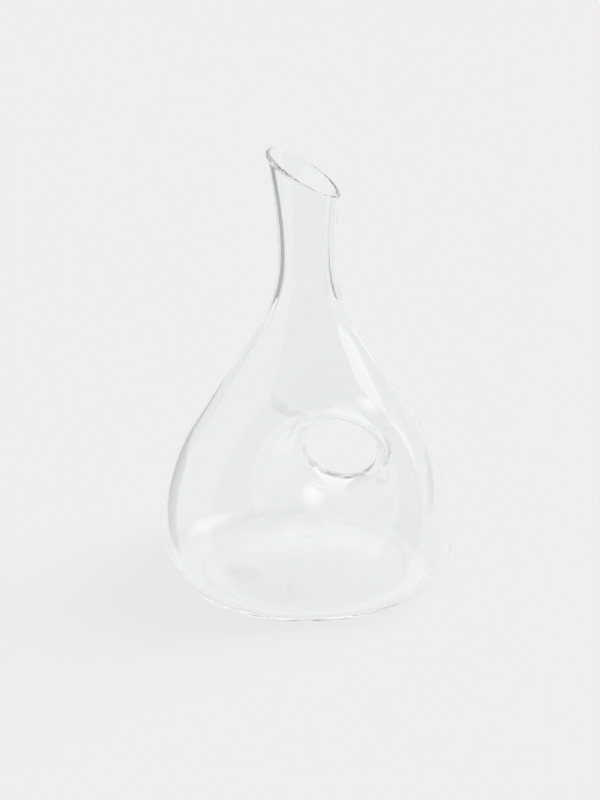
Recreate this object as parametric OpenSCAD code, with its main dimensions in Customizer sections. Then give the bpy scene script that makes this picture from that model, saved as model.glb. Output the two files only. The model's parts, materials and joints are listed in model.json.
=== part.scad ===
// Blown-glass wine decanter with a grip hole through its body.
// Origin: centre of the resting ring, on the surface it stands on. +Z is up, the glass pours towards -X,
// and the grip hole runs along Y on the +X side.

/* [Body] */
// Widest diameter of the belly
belly_d = 180; // [160:1:200]
// Radius of the rounded heel between the base and the belly
heel_r = 24; // [20:1:27]
// Radius of the long arc from the belly to the shoulder
belly_arc_r = 140; // [130:1:150]
// Glass thickness of the belly
belly_wall = 2.8; // [2:0.1:3.5]
// Glass thickness of the floor
floor_wall = 3.2; // [2.5:0.1:4]
// Height that the floor is pushed up in the middle
punt_h = 6; // [4:0.5:9]
// Width of the flat ring that the decanter rests on
rest_ring_w = 5; // [3:0.5:8]

/* [Neck] */
// Outside diameter of the neck at its narrowest
neck_d = 34.8; // [30:0.2:40]
// Height of the narrowest point of the neck
neck_z = 206; // [200:1:214]
// Radius of the arc that sweeps the shoulder into the neck
neck_arc_r = 87; // [75:1:95]
// Glass thickness at the narrowest point of the neck
neck_wall = 3.8; // [3:0.1:4.5]

/* [Mouth] */
// Overall height, to the tip of the pouring lip
overall_h = 276.5; // [268:0.5:286]
// Slope of the mouth, down from the tip
mouth_slope = 31.5; // [25:1:38]
// Radius of the outward flare above the neck
flare_r = 330; // [280:5:400]
// Radius of the inner flare, smaller so that the glass thins towards the rim
flare_bore_r = 260; // [240:5:300]
// Depth of the fire-polished rim, square to the mouth
rim_depth = 5; // [3:0.5:8]

/* [Grip hole] */
// Clear radius of the grip hole at its waist
grip_r = 22.4; // [20:0.2:25]
// Distance of the hole's axis from the decanter's axis
grip_x = 20.7; // [16:0.1:24]
// Height of the hole's axis
grip_z = 82; // [78:0.5:86]
// Angle by which the hole's axis is turned out of the Y direction, with its front end towards -X
grip_turn = 6; // [0:1:8]
// Radius of the trumpet curve from the waist outwards
grip_flare_r = 59; // [50:1:70]
// Angle to the hole's axis at which the trumpet goes straight
grip_flare_angle = 32; // [28:1:34]
// Glass thickness of the grip funnels
grip_wall = 2.2; // [1.8:0.1:2.8]

/* [Zones] */
// Height of the joint between belly and shoulder
belly_h = 110; // [106:1:114]
// Height of the joint between shoulder and neck
shoulder_h = 188; // [184:1:196]

/* [Hidden] */
$fn = 120;
// The long curves are circles of large radius, so they take more steps for the same smoothness
LONG_CURVE_FN = 720;

GLASS_TINT = [0.80, 0.88, 0.88, 0.45];
RIM_TINT = [0.66, 0.78, 0.78, 0.60];
GRIP_TINT = [0.72, 0.84, 0.88, 0.55];

belly_r = belly_d / 2;
foot_r = belly_r - heel_r;
neck_r = neck_d / 2;
belly_centre = [belly_r - belly_arc_r, heel_r];
neck_centre = [neck_r + neck_arc_r, neck_z];

// The punt is a spherical cap whose edge is the inner edge of the resting ring
punt_edge_r = foot_r - rest_ring_w;
punt_r = (punt_edge_r * punt_edge_r + punt_h * punt_h) / (2 * punt_h);
punt_centre = [0, punt_h - punt_r];

// The tip lies on the flared outside of the neck, and fixes the height of the sloping cut on the axis
tip_r = neck_r + flare_r - sqrt(flare_r * flare_r - (overall_h - neck_z) * (overall_h - neck_z));
mouth_z = overall_h - tip_r * tan(mouth_slope);

// Anything this large passes clear of the whole body
reach = 2 * belly_d;

// A hair's breadth by which a straight is set off from the arc that it touches, so that they cross cleanly
hair = 0.01;
// Length by which a curve runs on under the next one
overlap = 4;

// Direction from the belly arc's centre to the point where the straight shoulder touches that arc
function tangent_angle(belly_arc, neck_arc) =
    let (d = neck_centre - belly_centre)
    atan2(d[1], d[0]) - acos((belly_arc + neck_arc) / norm(d));

// One half of the round body's section, outside (insets 0) or inside (insets of the glass thickness)
module body_section(belly_inset, neck_inset, floor_inset, flare_curve) {
    belly_arc = belly_arc_r - belly_inset;
    neck_arc = neck_arc_r + neck_inset;
    throat_r = neck_r - neck_inset;
    angle = tangent_angle(belly_arc, neck_arc);
    touch_belly = belly_centre + (belly_arc - hair) * [cos(angle), sin(angle)];
    touch_neck = neck_centre - (neck_arc - hair) * [cos(angle), sin(angle)];
    run_on = touch_neck + overlap * [-sin(angle), cos(angle)];
    neck_low = ceil(touch_neck[1]);
    difference() {
        union() {
            square([foot_r, heel_r]);
            intersection() {
                translate([foot_r, heel_r]) circle(r = heel_r - belly_inset);
                translate([foot_r - 1, 0]) square([heel_r + 1, heel_r]);
            }
            intersection() {
                translate(belly_centre) circle(r = belly_arc, $fn = LONG_CURVE_FN);
                translate([0, heel_r]) square([belly_d, touch_belly[1] + overlap - heel_r]);
            }
            polygon([
                [0, touch_belly[1]],
                touch_belly,
                run_on,
                [0, run_on[1]]
            ]);
            difference() {
                translate([0, neck_low]) square([touch_neck[0], neck_z - neck_low]);
                translate(neck_centre) circle(r = neck_arc, $fn = LONG_CURVE_FN);
            }
            difference() {
                translate([0, neck_z]) square([2 * neck_r, overall_h + heel_r - neck_z]);
                translate([throat_r + flare_curve, neck_z]) circle(r = flare_curve, $fn = LONG_CURVE_FN);
            }
        }
        translate(punt_centre) circle(r = punt_r + floor_inset, $fn = LONG_CURVE_FN);
        translate([0, -heel_r]) square([belly_d, heel_r + min(floor_inset, belly_inset)]);
    }
}

module outer_body() {
    rotate_extrude() body_section(0, 0, 0, flare_r);
}

module inner_body() {
    rotate_extrude() body_section(belly_wall, neck_wall, floor_wall, flare_bore_r);
}

module glass_wall() {
    difference() {
        outer_body();
        inner_body();
    }
}

// Half of the grip trumpet's section: wall 0 is the hole itself, a wall thickness gives the glass round it
module trumpet_half_section(wall) {
    curve_centre = [grip_r + grip_flare_r, 0];
    curve_r = grip_flare_r - wall;
    outwards = [sin(grip_flare_angle), cos(grip_flare_angle)];
    touch = curve_centre + (curve_r - hair) * [-cos(grip_flare_angle), sin(grip_flare_angle)];
    low = touch - overlap * outwards;
    high = touch + belly_r * outwards;
    difference() {
        square(touch);
        translate(curve_centre) circle(r = curve_r);
    }
    polygon([
        [0, low[1]],
        low,
        high,
        [0, high[1]]
    ]);
}

module trumpet(wall) {
    translate([grip_x, 0, grip_z]) rotate([90, 0, -grip_turn]) rotate_extrude() {
        trumpet_half_section(wall);
        mirror([0, 1]) trumpet_half_section(wall);
    }
}

// Everything between two heights
module layer(low, high) {
    translate([-reach / 2, -reach / 2, low]) cube([reach, reach, high - low]);
}

// Everything on one side of a plane across the grip hole, at the hole's own x: side -1 is towards -X
module beside_grip(side) {
    translate([grip_x, 0, 0])
        rotate([0, 0, -grip_turn])
            translate([side > 0 ? 0 : -reach, -reach / 2, -reach / 2])
                cube(reach);
}

// Everything above the sloping mouth, or above a plane parallel to it and deeper by the given amount
module above_mouth(deeper) {
    translate([0, 0, mouth_z])
        rotate([0, mouth_slope, 0])
            translate([-reach / 2, -reach / 2, -deeper])
                cube(reach);
}

// The body's wall between two heights, with the two grip funnels' mouths left out of it
module body_zone(low, high) {
    difference() {
        intersection() {
            glass_wall();
            layer(low, high);
        }
        trumpet(grip_wall);
    }
}

// Half of the glass tunnel, on the -Y side (side -1) or the +Y side (side 1)
module grip_funnel(side) {
    intersection() {
        difference() {
            trumpet(grip_wall);
            trumpet(0);
        }
        outer_body();
        translate([grip_x, 0, 0])
            rotate([0, 0, -grip_turn])
                translate([-reach / 2, side > 0 ? 0 : -reach, 0])
                    cube(reach);
    }
}

module base() {
    color(GLASS_TINT) body_zone(-heel_r, heel_r);
}

// The funnels' mouths part the belly into a left and a right wall
module belly(side) {
    intersection() {
        body_zone(heel_r, belly_h);
        beside_grip(side);
    }
}

module left_belly() {
    color(GLASS_TINT) belly(-1);
}

module right_belly() {
    color(GLASS_TINT) belly(1);
}

module shoulder() {
    color(GLASS_TINT) body_zone(belly_h, shoulder_h);
}

module neck() {
    color(GLASS_TINT) difference() {
        intersection() {
            glass_wall();
            layer(shoulder_h, reach);
        }
        above_mouth(rim_depth);
    }
}

module pouring_rim() {
    color(RIM_TINT) difference() {
        intersection() {
            glass_wall();
            above_mouth(rim_depth);
        }
        above_mouth(0);
    }
}

module front_grip_funnel() {
    color(GRIP_TINT) grip_funnel(-1);
}

module rear_grip_funnel() {
    color(GRIP_TINT) grip_funnel(1);
}

base();
left_belly();
right_belly();
shoulder();
neck();
pouring_rim();
front_grip_funnel();
rear_grip_funnel();
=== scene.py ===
"""Looks of a hand-blown wine decanter: one shell of clear glass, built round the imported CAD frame.

The outer skin is the zero level of a field: a round body, whose section is a chain of arcs, with two
trumpets pushed into it that meet at the waist of the grip hole. A surface net turns the field into quads.
A Geometry Nodes tree gives the skin its glass thickness and rolls the rim. A studio lights the result.
"""

import json
import logging
import math
from dataclasses import dataclass
from enum import Enum

import bpy
import numpy as np
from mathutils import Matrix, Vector


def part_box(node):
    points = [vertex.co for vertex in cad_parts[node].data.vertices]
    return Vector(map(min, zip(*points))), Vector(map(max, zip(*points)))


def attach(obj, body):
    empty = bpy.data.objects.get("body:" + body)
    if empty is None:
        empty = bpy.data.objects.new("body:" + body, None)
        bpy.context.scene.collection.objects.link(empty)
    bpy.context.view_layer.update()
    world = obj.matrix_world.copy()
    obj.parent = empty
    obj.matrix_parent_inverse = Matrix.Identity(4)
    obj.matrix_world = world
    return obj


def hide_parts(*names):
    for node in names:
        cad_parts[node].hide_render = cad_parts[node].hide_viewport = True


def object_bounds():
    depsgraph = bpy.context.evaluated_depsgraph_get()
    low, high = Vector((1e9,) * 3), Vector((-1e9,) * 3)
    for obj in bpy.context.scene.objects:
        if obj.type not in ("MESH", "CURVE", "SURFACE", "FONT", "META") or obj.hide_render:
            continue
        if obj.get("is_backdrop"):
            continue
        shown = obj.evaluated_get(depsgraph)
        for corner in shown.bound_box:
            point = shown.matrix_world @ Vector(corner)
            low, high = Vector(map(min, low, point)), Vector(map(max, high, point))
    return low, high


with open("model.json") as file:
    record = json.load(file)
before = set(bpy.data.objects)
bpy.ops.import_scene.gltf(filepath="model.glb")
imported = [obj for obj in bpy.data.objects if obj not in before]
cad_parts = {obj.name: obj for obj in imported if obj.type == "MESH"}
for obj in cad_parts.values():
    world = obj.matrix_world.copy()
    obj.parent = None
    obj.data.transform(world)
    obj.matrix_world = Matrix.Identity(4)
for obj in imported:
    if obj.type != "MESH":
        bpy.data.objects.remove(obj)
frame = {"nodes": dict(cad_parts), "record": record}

logging.basicConfig(level=logging.INFO, format="%(message)s")
log = logging.getLogger("decanter")

Array = np.ndarray

# Keeps divisions by a vector's length safe where the vector vanishes
TINY = 1e-9


def smooth_step(value: Array, low: float, high: float) -> Array:
    """Rise smoothly from 0 to 1.

    Args:
        value: What is measured.
        low: Where the rise starts.
        high: Where the rise ends.

    Returns:
        Array: The eased share, from 0 to 1.
    """
    share = np.clip((value - low) / (high - low), 0.0, 1.0)
    return share * share * (3.0 - 2.0 * share)


def smooth_max(first: Array, second: Array, roll: float) -> Array:
    """Take the larger of two fields, with the edge between them rolled over.

    Args:
        first: One field, in metres.
        second: The other field, in metres.
        roll: Difference between the fields at which the roll starts, in metres.

    Returns:
        Array: The joined field.
    """
    overlap = np.maximum(roll - np.abs(first - second), 0.0) / roll
    return np.maximum(first, second) + overlap * overlap * roll / 4.0


def mount_place(name: str) -> Vector:
    """Find where the frame's record puts a mount.

    Args:
        name: The mount's name.

    Returns:
        Vector: Its place, in metres.
    """
    return next(Vector(m["pos_m"]) for m in frame["record"]["mounts"] if m["name"] == name)


@dataclass(frozen=True)
class RoundBody:
    """The decanter without its grip hole: a section of arcs and one straight, turned round the Z axis.

    The section runs from the pushed-up floor over the heel, the belly's long arc, the straight shoulder and
    the sweep into the neck to the flare under the mouth. Each stretch leaves the last one without a corner.
    """

    belly_radius: float
    heel_radius: float
    throat_z: float
    belly_arc: float = 0.140
    throat_radius: float = 0.0174
    neck_arc: float = 0.087
    flare_arc: float = 0.330
    punt_height: float = 0.006
    resting_ring: float = 0.005

    @property
    def foot_radius(self) -> float:
        """Give the radius at which the flat foot turns up into the heel."""
        return self.belly_radius - self.heel_radius

    @property
    def belly_centre(self) -> Array:
        """Give the centre of the belly's arc in the section."""
        return np.array([self.belly_radius - self.belly_arc, self.heel_radius])

    @property
    def neck_centre(self) -> Array:
        """Give the centre of the arc that sweeps into the neck."""
        return np.array([self.throat_radius + self.neck_arc, self.throat_z])

    @property
    def shoulder_angle(self) -> float:
        """Work out the angle above level at which the straight shoulder faces outwards.

        Returns:
            float: The angle, in radians.
        """
        between = self.neck_centre - self.belly_centre
        reach = (self.belly_arc + self.neck_arc) / np.hypot(*between)
        return math.atan2(between[1], between[0]) - math.acos(reach)

    def floor_height(self, radius: Array) -> Array:
        """Work out how high the pushed-up floor stands.

        Args:
            radius: Distances from the axis.

        Returns:
            Array: The heights of the floor's underside.
        """
        share = np.clip(radius / (self.foot_radius - self.resting_ring), 0.0, 1.0)
        return self.punt_height * (1.0 - share * share) ** 2

    def field(self, radius: Array, z: Array) -> Array:
        """Measure how far points are outside the round body, or inside it where negative.

        Args:
            radius: Distances from the axis.
            z: Heights.

        Returns:
            Array: The distances from the section's outline.
        """
        angle = self.shoulder_angle
        out = np.array([math.cos(angle), math.sin(angle)])
        along = np.array([-out[1], out[0]])
        bx, bz = self.belly_centre
        nx, nz = self.neck_centre
        touch = self.belly_centre + self.belly_arc * out
        run = float((self.neck_centre - self.neck_arc * out - touch) @ along)
        from_touch = (radius - touch[0]) * along[0] + (z - touch[1]) * along[1]
        floor = self.floor_height(radius) - z
        heel = np.hypot(radius - self.foot_radius, z - self.heel_radius) - self.heel_radius
        belly = np.hypot(radius - bx, z - bz) - self.belly_arc
        shoulder = (radius - touch[0]) * out[0] + (z - touch[1]) * out[1]
        neck = self.neck_arc - np.hypot(radius - nx, z - nz)
        flare = self.flare_arc - np.hypot(radius - self.throat_radius - self.flare_arc, z - nz)
        low = z < self.heel_radius
        return np.select(
            [low & (radius < self.foot_radius), low, from_touch < 0.0, from_touch < run, z < nz],
            [floor, heel, belly, shoulder, neck],
            flare,
        )


@dataclass(frozen=True)
class GripTrumpet:
    """The grip hole: a trumpet that opens to the front and to the rear from a round waist in the middle."""

    centre: Vector
    waist_radius: float = 0.0224
    curve: float = 0.059
    straight_angle: float = math.radians(32.0)
    turn: float = math.radians(6.0)

    def reach(self, points: Array) -> tuple[Array, Array]:
        """Measure points from the hole's axis and from its waist plane.

        Args:
            points: Places, one row each.

        Returns:
            tuple[Array, Array]: Distances from the axis, and from the waist plane.
        """
        cosine, sine = math.cos(self.turn), math.sin(self.turn)
        x, y = points[..., 0] - self.centre.x, points[..., 1] - self.centre.y
        off_axis = np.hypot(x * cosine - y * sine, points[..., 2] - self.centre.z)
        return off_axis, np.abs(x * sine + y * cosine)

    def depth(self, points: Array) -> Array:
        """Measure how deep points lie inside the hole.

        Args:
            points: Places, one row each.

        Returns:
            Array: The depths, negative in the body round the hole.
        """
        off_axis, off_plane = self.reach(points)
        across = off_axis - self.waist_radius - self.curve
        curved = np.hypot(across, off_plane) - self.curve
        cosine, sine = math.cos(self.straight_angle), math.sin(self.straight_angle)
        straight = -across * cosine + off_plane * sine - self.curve
        return np.where(off_plane * cosine < -across * sine, curved, straight)


@dataclass(frozen=True)
class SlantedMouth:
    """The sloping cut through the flared neck, with its tip towards -X."""

    axis_height: float
    slope: float
    bend_from: float

    def lift(self, points: Array) -> Array:
        """Shear upright space so that its level layers lean over into the slope of the mouth.

        Args:
            points: Places in upright space, whose level at axis_height is the mouth.

        Returns:
            Array: The same places on the real neck.
        """
        lean = smooth_step(points[..., 2], self.bend_from, self.axis_height)
        lifted = points.copy()
        lifted[..., 2] -= math.tan(self.slope) * points[..., 0] * lean
        return lifted

    @property
    def normal(self) -> Array:
        """Give the direction that the mouth faces."""
        return np.array([math.sin(self.slope), 0.0, math.cos(self.slope)])


@dataclass(frozen=True)
class WallThickness:
    """Glass thickness in each zone, thickest in the neck and thinnest where the funnels were drawn out."""

    belly: float = 0.0028
    floor: float = 0.0034
    throat: float = 0.0038
    rim: float = 0.0030
    waist: float = 0.0021
    waist_spread: float = 0.020

    def at(self, points: Array, body: RoundBody, grip: GripTrumpet, mouth_z: float) -> Array:
        """Work out the thickness under each point of the outer skin.

        Args:
            points: Places on the skin.
            body: The round body.
            grip: The grip hole.
            mouth_z: Height of the mouth on the axis.

        Returns:
            Array: The thicknesses.
        """
        radius, z = np.hypot(points[:, 0], points[:, 1]), points[:, 2]
        wall = self.belly + (self.throat - self.belly) * smooth_step(z, 0.5 * body.throat_z, body.throat_z)
        wall += (self.rim - self.throat) * smooth_step(z, body.throat_z, mouth_z)
        low_down = smooth_step(-z, -0.5 * body.heel_radius, 0.0)
        inward = smooth_step(-radius, -body.belly_radius, -body.foot_radius)
        wall += (self.floor - self.belly) * (low_down * inward)
        off_axis, off_plane = grip.reach(points)
        to_waist = np.hypot(off_axis - grip.waist_radius, off_plane) / self.waist_spread
        return wall + (self.waist - wall) * np.exp(-to_waist * to_waist)


class SurfaceNet:
    """Turns the zero level of a field on a grid into quads: one vertex in each cell that it crosses."""

    def __init__(self, values: Array) -> None:
        """Find the cells that the zero level crosses.

        Args:
            values: The field at the grid's points, negative inside.
        """
        self.values = values
        shape = np.array(values.shape) - 1
        total, count = np.zeros((*shape, 3)), np.zeros(shape)
        for axis in range(3):
            start, place, _ = self.crossings(axis)
            for cell in self.cells_round(start, axis):
                inside = np.all((cell >= 0) & (cell < shape), axis=1)
                key = tuple(cell[inside].T)
                np.add.at(total, key, place[inside])
                np.add.at(count, key, 1)
        used = count > 0
        self.number = np.full(shape, -1)
        self.number[used] = np.arange(used.sum())
        self.places = total[used] / count[used][:, None]
        self.layers = np.argwhere(used)[:, 2]

    def crossings(self, axis: int) -> tuple[Array, Array, Array]:
        """Find the grid edges along one axis that the zero level crosses.

        Args:
            axis: 0, 1 or 2.

        Returns:
            tuple[Array, Array, Array]: Each edge's start, its crossing point, and whether it runs outwards.
        """
        lines = np.moveaxis(self.values, axis, 0)
        first, second = np.moveaxis(lines[:-1], 0, axis), np.moveaxis(lines[1:], 0, axis)
        start = np.argwhere((first < 0) != (second < 0))
        key = tuple(start.T)
        place = start.astype(float)
        place[:, axis] += first[key] / (first[key] - second[key])
        return start, place, first[key] < 0

    @staticmethod
    def cells_round(start: Array, axis: int) -> list[Array]:
        """List the four cells round each grid edge, in turning order about the axis.

        Args:
            start: The edges' start points.
            axis: The edges' direction.

        Returns:
            list[Array]: Four arrays of cells.
        """
        u, v = (axis + 1) % 3, (axis + 2) % 3
        cells = []
        for du, dv in ((-1, -1), (0, -1), (0, 0), (-1, 0)):
            cell = start.copy()
            cell[:, u] += du
            cell[:, v] += dv
            cells.append(cell)
        return cells

    def quads(self) -> Array:
        """Make one outward-facing quad for each crossed grid edge that has all four cells.

        Returns:
            Array: Four vertex numbers a row.
        """
        limit = np.array(self.number.shape)
        faces = []
        for axis in range(3):
            start, _, outwards = self.crossings(axis)
            cells = self.cells_round(start, axis)
            whole = np.all([np.all((c >= 0) & (c < limit), axis=1) for c in cells], axis=0)
            quad = np.stack([self.number[tuple(c[whole].T)] for c in cells], axis=1)
            faces.append(np.where(outwards[whole][:, None], quad, quad[:, ::-1]))
        return np.concatenate(faces)


@dataclass
class Decanter:
    """The whole decanter as one closed shell of glass, placed and sized by the frame."""

    cell: float = 0.002
    relax_steps: int = 24
    relax_share: float = 0.5
    pull_steps: int = 3
    mouth_slope: float = math.radians(31.5)
    bend_below_throat: float = 0.02
    funnel_roll: float = 0.022
    walls: WallThickness = WallThickness()
    piece: str = "glass_body"

    def __post_init__(self) -> None:
        """Take the outer sizes and the places of the throat and the hole from the frame."""
        base_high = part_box("base")[1]
        rim_low, rim_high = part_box("pouring_rim")
        throat_z = mount_place("neck_throat").z
        self.body = RoundBody(belly_radius=base_high.x, heel_radius=base_high.z, throat_z=throat_z)
        self.grip = GripTrumpet(centre=mount_place("grip_hole"))
        bead = 0.5 * self.walls.rim / math.cos(self.mouth_slope)
        mouth_z = rim_high.z + rim_low.x * math.tan(self.mouth_slope) - bead
        self.mouth = SlantedMouth(
            axis_height=mouth_z, slope=self.mouth_slope, bend_from=throat_z - self.bend_below_throat)

    def field(self, points: Array) -> Array:
        """Measure how far points are outside the decanter's outer skin.

        Args:
            points: Places, one row each.

        Returns:
            Array: The distances, negative inside.
        """
        round_body = self.body.field(np.hypot(points[..., 0], points[..., 1]), points[..., 2])
        return smooth_max(round_body, self.grip.depth(points), self.funnel_roll)

    def slope_of_field(self, points: Array, step: float = 2e-5) -> Array:
        """Measure the field's gradient, which points out of the glass.

        Args:
            points: Places, one row each.
            step: Half the distance over which the change is measured.

        Returns:
            Array: The gradients.
        """
        axes = np.eye(3) * step
        change = [self.field(points + axis) - self.field(points - axis) for axis in axes]
        return np.stack(change, axis=-1) / (2 * step)

    def facing(self, points: Array) -> Array:
        """Give the direction that the skin faces.

        Args:
            points: Places on the skin.

        Returns:
            Array: Outward directions of length 1.
        """
        slope = self.slope_of_field(points)
        return slope / np.linalg.norm(slope, axis=1)[:, None]

    def trace_skin(self) -> tuple[Array, Array, Array]:
        """Trace the outer skin on a grid whose top layer leans into the slanted mouth.

        Returns:
            tuple[Array, Array, Array]: Vertices, quads, and which vertices lie on the mouth's edge.
        """
        side = self.body.belly_radius + 2 * self.cell
        across = np.arange(-side, side, self.cell)
        layers = round((self.mouth.axis_height + 3 * self.cell) / self.cell)
        up = self.mouth.axis_height + self.cell * np.arange(1 - layers, 2)
        grid = np.stack(np.meshgrid(across, across, up, indexing="ij"), axis=-1)
        net = SurfaceNet(self.field(self.mouth.lift(grid)))
        origin = np.array([across[0], across[0], up[0]])
        upright = origin + net.places * self.cell
        on_edge = net.layers == net.layers.max()
        upright[on_edge, 2] = self.mouth.axis_height
        quads = net.quads()
        quads = quads[~on_edge[quads].all(axis=1)]
        used = np.unique(quads)
        return self.mouth.lift(upright[used]), np.searchsorted(used, quads), on_edge[used]

    def pull_to_skin(self, points: Array, on_edge: Array) -> Array:
        """Move points onto the skin, and those on the mouth's edge within the plane of the mouth.

        Args:
            points: Places near the skin.
            on_edge: Which of them lie on the mouth's edge.

        Returns:
            Array: The moved places.
        """
        slope = self.slope_of_field(points)
        facing = self.mouth.normal
        slope[on_edge] -= (slope[on_edge] @ facing)[:, None] * facing
        size = np.maximum((slope * slope).sum(axis=1), TINY)
        return points - slope * (self.field(points) / size)[:, None]

    def even_out(self, points: Array, quads: Array, on_edge: Array) -> Array:
        """Slide the vertices along the skin until their spacing is even.

        Args:
            points: The vertices.
            quads: The faces.
            on_edge: Which vertices lie on the mouth's edge.

        Returns:
            Array: The moved vertices.
        """
        sides = np.sort(np.concatenate([quads[:, [i, (i + 1) % 4]] for i in range(4)]), axis=1)
        sides = np.unique(sides, axis=0)
        ends = np.concatenate([sides, sides[:, ::-1]])
        ends = ends[~on_edge[ends[:, 0]] | on_edge[ends[:, 1]]]
        share = np.bincount(ends[:, 0], minlength=len(points))
        for _ in range(self.relax_steps):
            mean = np.stack(
                [np.bincount(ends[:, 0], points[ends[:, 1], k], len(points)) for k in range(3)], axis=1)
            move = mean / share[:, None] - points
            facing = self.facing(points)
            move -= (move * facing).sum(axis=1)[:, None] * facing
            points = self.pull_to_skin(points + self.relax_share * move, on_edge)
        return points

    def build(self, finish: "BlownGlass") -> bpy.types.Object:
        """Build the glass: trace the skin, thicken it, roll the rim and dress it.

        Args:
            finish: The glass's look.

        Returns:
            bpy.types.Object: The finished piece.
        """
        points, quads, on_edge = self.trace_skin()
        for _ in range(self.pull_steps):
            points = self.pull_to_skin(points, on_edge)
        points = self.even_out(points, quads, on_edge)
        facing = self.facing(points)
        wall = self.walls.at(points, self.body, self.grip, self.mouth.axis_height)
        skin = bpy.data.meshes.new("outer_skin")
        skin.from_pydata(points.tolist(), [], quads.tolist())
        self.store(skin, "wall", "FLOAT", "value", wall)
        self.store(skin, "facing", "FLOAT_VECTOR", "vector", facing)
        upwards = np.cross(np.cross(facing, self.mouth.normal), facing)
        upwards /= np.maximum(np.linalg.norm(upwards, axis=1), TINY)[:, None]
        self.store(skin, "rim_up", "FLOAT_VECTOR", "vector", upwards)
        rough = bpy.data.objects.new("outer_skin", skin)
        bpy.context.scene.collection.objects.link(rough)
        return GlassWallTree(finish.material()).apply(rough, self.piece)

    @staticmethod
    def store(mesh: bpy.types.Mesh, name: str, kind: str, part: str, values: Array) -> None:
        """Write an attribute on a mesh's points.

        Args:
            mesh: The mesh.
            name: The attribute's name.
            kind: The attribute's data type.
            part: The name of the item's field.
            values: One value or vector for each point.
        """
        attribute = mesh.attributes.new(name, kind, "POINT")
        attribute.data.foreach_set(part, np.ascontiguousarray(values, np.float32).ravel())


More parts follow.
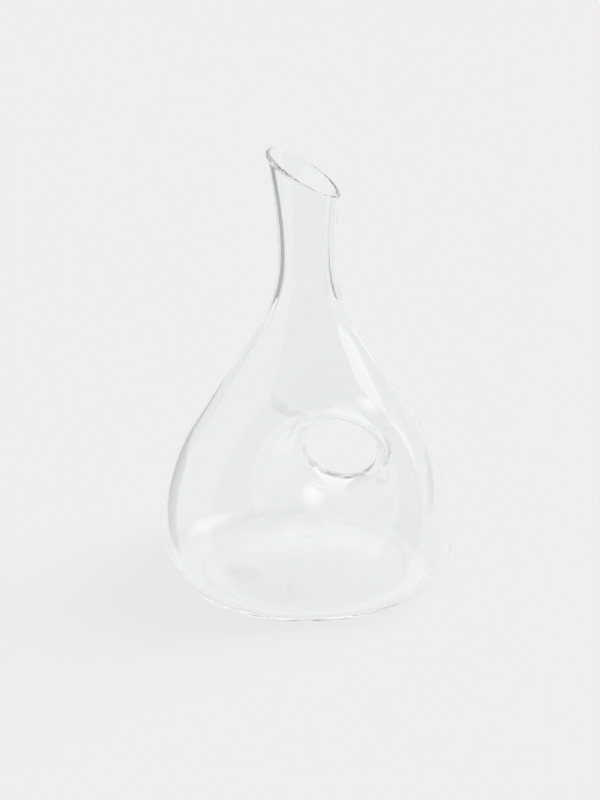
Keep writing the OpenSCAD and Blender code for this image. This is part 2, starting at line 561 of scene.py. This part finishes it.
class GlassWallTree:
    """Geometry Nodes that give an open skin its wall: an inner skin, and a rim rolled from out to in."""

    RIM_STEPS = 8
    WELD_DISTANCE = 0.00005

    def __init__(self, glass: bpy.types.Material) -> None:
        """Build the tree.

        Args:
            glass: The material that it sets.
        """
        self.glass = glass
        tree = bpy.data.node_groups.new("glass_wall", "GeometryNodeTree")
        tree.is_modifier = True
        self.tree = tree
        add = tree.interface.new_socket
        add("Skin", in_out="INPUT", socket_type="NodeSocketGeometry")
        self.scale_id = add("Wall Scale", in_out="INPUT", socket_type="NodeSocketFloat").identifier
        self.merge_id = add("Weld Distance", in_out="INPUT", socket_type="NodeSocketFloat").identifier
        self.glass_id = add("Glass", in_out="INPUT", socket_type="NodeSocketMaterial").identifier
        add("Wall", in_out="OUTPUT", socket_type="NodeSocketGeometry")
        self.given = tree.nodes.new("NodeGroupInput")
        self.wire()

    def node(self, kind: str, **settings: object) -> bpy.types.Node:
        """Add a node.

        Args:
            kind: The node's type name.
            settings: Its properties.

        Returns:
            bpy.types.Node: The new node.
        """
        made = self.tree.nodes.new(kind)
        for name, value in settings.items():
            setattr(made, name, value)
        return made

    def named(self, name: str, kind: str) -> bpy.types.NodeSocket:
        """Read one of the skin's attributes.

        Args:
            name: The attribute's name.
            kind: Its data type.

        Returns:
            bpy.types.NodeSocket: The value.
        """
        read = self.node("GeometryNodeInputNamedAttribute", data_type=kind)
        read.inputs["Name"].default_value = name
        return read.outputs["Attribute"]

    def scaled(self, vector: bpy.types.NodeSocket,
               factor: bpy.types.NodeSocket | float) -> bpy.types.NodeSocket:
        """Multiply a vector by a number.

        Args:
            vector: The vector.
            factor: The number, or a socket that gives it.

        Returns:
            bpy.types.NodeSocket: The product.
        """
        scale = self.node("ShaderNodeVectorMath", operation="SCALE")
        self.tree.links.new(vector, scale.inputs[0])
        if isinstance(factor, float):
            scale.inputs["Scale"].default_value = factor
        else:
            self.tree.links.new(factor, scale.inputs["Scale"])
        return scale.outputs[0]

    def total(self, first: bpy.types.NodeSocket, second: bpy.types.NodeSocket) -> bpy.types.NodeSocket:
        """Add two vectors.

        Args:
            first: One vector.
            second: The other.

        Returns:
            bpy.types.NodeSocket: The sum.
        """
        add = self.node("ShaderNodeVectorMath", operation="ADD")
        self.tree.links.new(first, add.inputs[0])
        self.tree.links.new(second, add.inputs[1])
        return add.outputs[0]

    def wire(self) -> None:
        """Wire the inner skin, the rolled rim and the weld."""
        link = self.tree.links.new
        thickness = self.node("ShaderNodeMath", operation="MULTIPLY")
        link(self.named("wall", "FLOAT"), thickness.inputs[0])
        link(self.given.outputs["Wall Scale"], thickness.inputs[1])
        across = self.scaled(self.named("facing", "FLOAT_VECTOR"), thickness.outputs[0])
        upwards = self.scaled(self.named("rim_up", "FLOAT_VECTOR"), thickness.outputs[0])

        inner = self.node("GeometryNodeSetPosition")
        link(self.given.outputs["Skin"], inner.inputs["Geometry"])
        link(self.scaled(across, -1.0), inner.inputs["Offset"])
        turned = self.node("GeometryNodeFlipFaces")
        link(inner.outputs["Geometry"], turned.inputs["Mesh"])

        neighbours = self.node("GeometryNodeInputMeshEdgeNeighbors")
        open_edge = self.node("FunctionNodeCompare", data_type="INT", operation="EQUAL")
        link(neighbours.outputs["Face Count"], open_edge.inputs[2])
        open_edge.inputs[3].default_value = 1
        geometry, edge = self.given.outputs["Skin"], open_edge.outputs[0]
        for step in range(self.RIM_STEPS):
            before = math.pi * step / self.RIM_STEPS
            after = math.pi * (step + 1) / self.RIM_STEPS
            roll = self.node("GeometryNodeExtrudeMesh", mode="EDGES")
            shift = self.total(
                self.scaled(upwards, (math.sin(after) - math.sin(before)) / 2),
                self.scaled(across, (math.cos(after) - math.cos(before)) / 2))
            link(geometry, roll.inputs["Mesh"])
            link(edge, roll.inputs["Selection"])
            link(shift, roll.inputs["Offset"])
            roll.inputs["Offset Scale"].default_value = 1.0
            geometry, edge = roll.outputs["Mesh"], roll.outputs["Top"]

        join = self.node("GeometryNodeJoinGeometry")
        link(turned.outputs["Mesh"], join.inputs["Geometry"])
        link(geometry, join.inputs["Geometry"])
        weld = self.node("GeometryNodeMergeByDistance")
        link(join.outputs["Geometry"], weld.inputs["Geometry"])
        link(self.given.outputs["Weld Distance"], weld.inputs["Distance"])
        smooth = self.node("GeometryNodeSetShadeSmooth")
        link(weld.outputs["Geometry"], smooth.inputs["Geometry"])
        real = self.node("GeometryNodeRealizeInstances")
        link(smooth.outputs["Geometry"], real.inputs["Geometry"])
        dress = self.node("GeometryNodeSetMaterial")
        link(real.outputs["Geometry"], dress.inputs["Geometry"])
        link(self.given.outputs["Glass"], dress.inputs["Material"])
        out = self.node("NodeGroupOutput")
        link(dress.outputs["Geometry"], out.inputs["Wall"])

    def apply(self, skin: bpy.types.Object, name: str) -> bpy.types.Object:
        """Run the tree on a skin and keep the result as a plain mesh.

        Args:
            skin: The open skin, which is removed.
            name: The finished piece's name.

        Returns:
            bpy.types.Object: The finished piece.
        """
        modifier = skin.modifiers.new("glass_wall", "NODES")
        modifier.node_group = self.tree
        modifier[self.scale_id] = 1.0
        modifier[self.merge_id] = self.WELD_DISTANCE
        modifier[self.glass_id] = self.glass
        evaluated = skin.evaluated_get(bpy.context.evaluated_depsgraph_get())
        mesh = bpy.data.meshes.new_from_object(evaluated)
        mesh.name = name
        skin.modifiers.remove(modifier)
        bpy.data.objects.remove(skin)
        piece = bpy.data.objects.new(name, mesh)
        bpy.context.scene.collection.objects.link(piece)
        return piece


@dataclass(frozen=True)
class BlownGlass:
    """Clear glass with the faint ripples of hand blowing."""

    tint: tuple[float, float, float] = (0.996, 0.999, 0.998)
    ior: float = 1.5
    ripple: float = 0.02
    ripple_depth: float = 0.01
    ripples_per_metre: float = 28.0
    ripple_detail: float = 1.0
    ripple_stretch: tuple[float, float, float] = (1.0, 1.0, 0.35)
    shadow_clearness: float = 0.925

    def material(self) -> bpy.types.Material:
        """Build the material.

        Returns:
            bpy.types.Material: Clear glass.
        """
        made = bpy.data.materials.new("clear_blown_glass")
        made.use_nodes = True
        nodes, links = made.node_tree.nodes, made.node_tree.links
        nodes.clear()
        shader = nodes.new("ShaderNodeBsdfPrincipled")
        shader.inputs["Base Color"].default_value = (*self.tint, 1.0)
        shader.inputs["Roughness"].default_value = 0.0
        shader.inputs["IOR"].default_value = self.ior
        shader.inputs["Transmission Weight"].default_value = 1.0
        place = nodes.new("ShaderNodeTexCoord")
        stretch = nodes.new("ShaderNodeMapping")
        stretch.inputs["Scale"].default_value = self.ripple_stretch
        links.new(place.outputs["Object"], stretch.inputs["Vector"])
        ripples = nodes.new("ShaderNodeTexNoise")
        ripples.inputs["Scale"].default_value = self.ripples_per_metre
        ripples.inputs["Detail"].default_value = self.ripple_detail
        links.new(stretch.outputs["Vector"], ripples.inputs["Vector"])
        bump = nodes.new("ShaderNodeBump")
        bump.inputs["Strength"].default_value = self.ripple
        bump.inputs["Distance"].default_value = self.ripple_depth
        links.new(ripples.outputs["Fac"], bump.inputs["Height"])
        links.new(bump.outputs["Normal"], shader.inputs["Normal"])
        rays = nodes.new("ShaderNodeLightPath")
        clear = nodes.new("ShaderNodeBsdfTransparent")
        clear.inputs["Color"].default_value = (*[self.shadow_clearness] * 3, 1.0)
        mix = nodes.new("ShaderNodeMixShader")
        links.new(rays.outputs["Is Shadow Ray"], mix.inputs[0])
        links.new(shader.outputs["BSDF"], mix.inputs[1])
        links.new(clear.outputs["BSDF"], mix.inputs[2])
        out = nodes.new("ShaderNodeOutputMaterial")
        links.new(mix.outputs["Shader"], out.inputs["Surface"])
        return made


class Seen(Enum):
    """Which rays see a sheet of the studio."""

    REFLECTED = "reflected"
    IN_GLASS = "in_glass"
    BY_ALL = "by_all"


@dataclass(frozen=True)
class Panel:
    """A part of the room's wall as the glass sees it.

    Azimuths are degrees from the camera's side towards +X, and heights are degrees above level.
    """

    name: str
    azimuths: tuple[float, float]
    heights: tuple[float, float]
    level: float
    seen: Seen = Seen.REFLECTED
    distance: float = 1.2
    centre_height: float = 0.12
    steps: int = 12

    def place(self, azimuth: float, height: float) -> tuple[float, float, float]:
        """Find a place on the panel.

        Args:
            azimuth: Degrees from the camera's side, towards +X.
            height: Degrees above level.

        Returns:
            tuple[float, float, float]: The place.
        """
        turn, rise = math.radians(azimuth), math.radians(height)
        out, up = self.distance * math.cos(rise), self.distance * math.sin(rise)
        return (out * math.sin(turn), -out * math.cos(turn), self.centre_height + up)

    def shape(self) -> tuple[list[tuple[float, float, float]], list[tuple[int, ...]]]:
        """Divide the panel into a curved grid.

        Returns:
            tuple[list[tuple[float, float, float]], list[tuple[int, ...]]]: Its corners and faces.
        """
        (left, right), (bottom, top) = self.azimuths, self.heights
        corners, faces = [], []
        for row in range(self.steps + 1):
            height = bottom + (top - bottom) * row / self.steps
            for column in range(self.steps + 1):
                azimuth = left + (right - left) * column / self.steps
                corners.append(self.place(azimuth, height))
        width = self.steps + 1
        for row in range(self.steps):
            for column in range(self.steps):
                first = row * width + column
                faces.append((first, first + 1, first + width + 1, first + width))
        return corners, faces


@dataclass(frozen=True)
class Card:
    """A card that lies on the floor and that only the glass shows."""

    name: str
    outline: tuple[tuple[float, float], ...]
    level: float
    seen: Seen
    lift: float = 0.002


@dataclass(frozen=True)
class KeyDisc:
    """One disc of the key light, with its width in degrees and whether it shows in the glass."""

    angle: float
    energy: float
    in_glass: bool


@dataclass(frozen=True)
class Studio:
    """Pale seamless floor, soft light and a long lens looking slightly down."""

    target: Vector = Vector((-0.004, 0.0, 0.1143))
    distance: float = 2.6
    elevation: float = math.radians(24.2)
    lens: float = 128.7
    film_height: float = 24.0
    room_level: float = 0.712
    floor_half: float = 15.0
    floor_grey: float = 0.90
    roughness: float = 0.9
    bounces: int = 128
    key_direction: Vector = Vector((-0.88, -0.44, -0.90))
    key_discs: tuple[KeyDisc, ...] = (
        KeyDisc(46.0, 0.69, False),
        KeyDisc(46.0, 0.24, True),
        KeyDisc(34.0, 0.134, True),
        KeyDisc(22.0, 0.057, True),
    )
    panels: tuple[Panel, ...] = (
        Panel("camera_side", (-58.0, 46.0), (-5.0, 48.0), 0.12),
        Panel("right_gap", (46.0, 88.0), (-5.0, 48.0), 0.20),
        Panel("softbox", (88.0, 120.0), (12.0, 44.0), 2.1),
        Panel("under_softbox", (88.0, 120.0), (-5.0, 12.0), 0.90),
        Panel("right_rear", (120.0, 150.0), (-5.0, 48.0), 0.75),
        Panel("behind", (150.0, 192.0), (-5.0, 48.0), 1.15, Seen.IN_GLASS),
        Panel("left_side", (-130.0, -58.0), (-5.0, 48.0), 0.90),
        Panel("left_rear", (-168.0, -130.0), (-5.0, 48.0), 0.50),
        Panel("overhead", (-180.0, 180.0), (48.0, 89.0), 0.25),
    )
    cards: tuple[Card, ...] = (
        Card("rear_left", ((-0.14, -0.02), (-0.32, 0.72), (-0.84, 0.66)), 0.38, Seen.IN_GLASS),
        Card("rear_right", ((0.32, 0.06), (1.00, 0.56), (0.58, 0.72)), 0.42, Seen.IN_GLASS),
        Card(
            "front",
            ((-0.50, -0.26), (-0.80, -1.20), (1.20, -1.20), (1.20, -0.02), (0.30, -0.14)),
            0.10,
            Seen.REFLECTED,
        ),
    )

    def build(self) -> None:
        """Set up the camera, the floor, the lights, the panels and the cards."""
        self.camera()
        self.floor()
        self.world()
        self.key_light()
        for panel in self.panels:
            self.stand_panel(panel)
        for card in self.cards:
            self.lay_card(card)
        scene = bpy.context.scene
        scene.view_settings.view_transform = "Standard"
        scene.cycles.max_bounces = self.bounces
        scene.cycles.transmission_bounces = self.bounces
        scene.cycles.glossy_bounces = self.bounces

    def camera(self) -> None:
        """Place the camera on its arc about the target."""
        data = bpy.data.cameras.new("camera")
        data.sensor_fit = "VERTICAL"
        data.sensor_height = self.film_height
        data.lens = self.lens
        camera = bpy.data.objects.new("camera", data)
        back = Vector((0.0, -math.cos(self.elevation), math.sin(self.elevation)))
        camera.location = self.target + self.distance * back
        camera.rotation_euler = (math.pi / 2 - self.elevation, 0.0, 0.0)
        bpy.context.scene.collection.objects.link(camera)
        bpy.context.scene.camera = camera

    def plain(self, name: str, grey: float, glow: float = 0.0) -> bpy.types.Material:
        """Make a plain matt material.

        Args:
            name: Its name.
            grey: How light its grey is.
            glow: How much light it sends out.

        Returns:
            bpy.types.Material: The material.
        """
        made = bpy.data.materials.new(name)
        made.use_nodes = True
        shader = made.node_tree.nodes["Principled BSDF"]
        shader.inputs["Base Color"].default_value = (grey, grey, grey, 1.0)
        shader.inputs["Roughness"].default_value = self.roughness
        shader.inputs["Specular IOR Level"].default_value = 0.0
        shader.inputs["Emission Color"].default_value = (1.0, 1.0, 1.0, 1.0)
        shader.inputs["Emission Strength"].default_value = glow
        return made

    @staticmethod
    def sheet(name: str, corners: list[tuple[float, float, float]], faces: list[tuple[int, ...]],
              material: bpy.types.Material, seen: Seen) -> None:
        """Make a stage sheet.

        Args:
            name: Its name.
            corners: Its vertices.
            faces: Its faces.
            material: Its material.
            seen: Which rays see it.
        """
        mesh = bpy.data.meshes.new(name)
        mesh.from_pydata(corners, [], faces)
        mesh.materials.append(material)
        made = bpy.data.objects.new(name, mesh)
        bpy.context.scene.collection.objects.link(made)
        if seen is not Seen.BY_ALL:
            made.visible_camera = False
            made.visible_diffuse = False
            made.visible_shadow = False
            made.visible_transmission = seen is Seen.IN_GLASS
        made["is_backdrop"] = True

    def floor(self) -> None:
        """Lay the pale floor."""
        half = self.floor_half
        corners = [(-half, -half, 0.0), (half, -half, 0.0), (half, half, 0.0), (-half, half, 0.0)]
        material = self.plain("pale_floor", self.floor_grey)
        self.sheet("floor", corners, [(0, 1, 2, 3)], material, Seen.BY_ALL)

    def world(self) -> None:
        """Fill the room with even light."""
        world = bpy.data.worlds.new("room")
        world.use_nodes = True
        background = world.node_tree.nodes["Background"]
        background.inputs["Color"].default_value = (1.0, 1.0, 1.0, 1.0)
        background.inputs["Strength"].default_value = self.room_level
        bpy.context.scene.world = world

    def key_light(self) -> None:
        """Shine broad soft light from the right and behind, in discs that add up towards the middle."""
        for disc in self.key_discs:
            data = bpy.data.lights.new("soft_key", "SUN")
            data.energy = disc.energy
            data.angle = math.radians(disc.angle)
            light = bpy.data.objects.new("soft_key", data)
            light.rotation_euler = self.key_direction.to_track_quat("-Z", "Y").to_euler()
            light.visible_transmission = disc.in_glass
            bpy.context.scene.collection.objects.link(light)

    def stand_panel(self, panel: Panel) -> None:
        """Stand a panel where only the glass shows it.

        Args:
            panel: The panel.
        """
        corners, faces = panel.shape()
        material = self.plain(f"{panel.name}_panel", 0.0, panel.level)
        self.sheet(panel.name, corners, faces, material, panel.seen)

    def lay_card(self, card: Card) -> None:
        """Lay a card on the floor, where only the glass shows it.

        Args:
            card: The card.
        """
        corners = [(x, y, card.lift) for x, y in card.outline]
        material = self.plain(f"{card.name}_dark", 0.0, card.level)
        self.sheet(f"{card.name}_table", corners, [tuple(range(len(corners)))], material, card.seen)


def bounds_list() -> list[list[float]]:
    """Give the object's box as plain numbers.

    Returns:
        list[list[float]]: Its lowest and highest corners.
    """
    return [[float(value) for value in corner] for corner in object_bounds()]


def main(cad_box: list[list[float]]) -> None:
    """Build the decanter and its studio.

    Args:
        cad_box: The CAD model's box; not used.
    """
    glass = Decanter().build(BlownGlass())
    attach(glass, "root")
    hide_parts(*sorted(frame["nodes"]))
    glass.visible_diffuse = False
    log.info("%s: %d vertices, %d faces", glass.name, len(glass.data.vertices), len(glass.data.polygons))
    Studio().build()


if __name__ == "__main__":
    main(bounds_list())
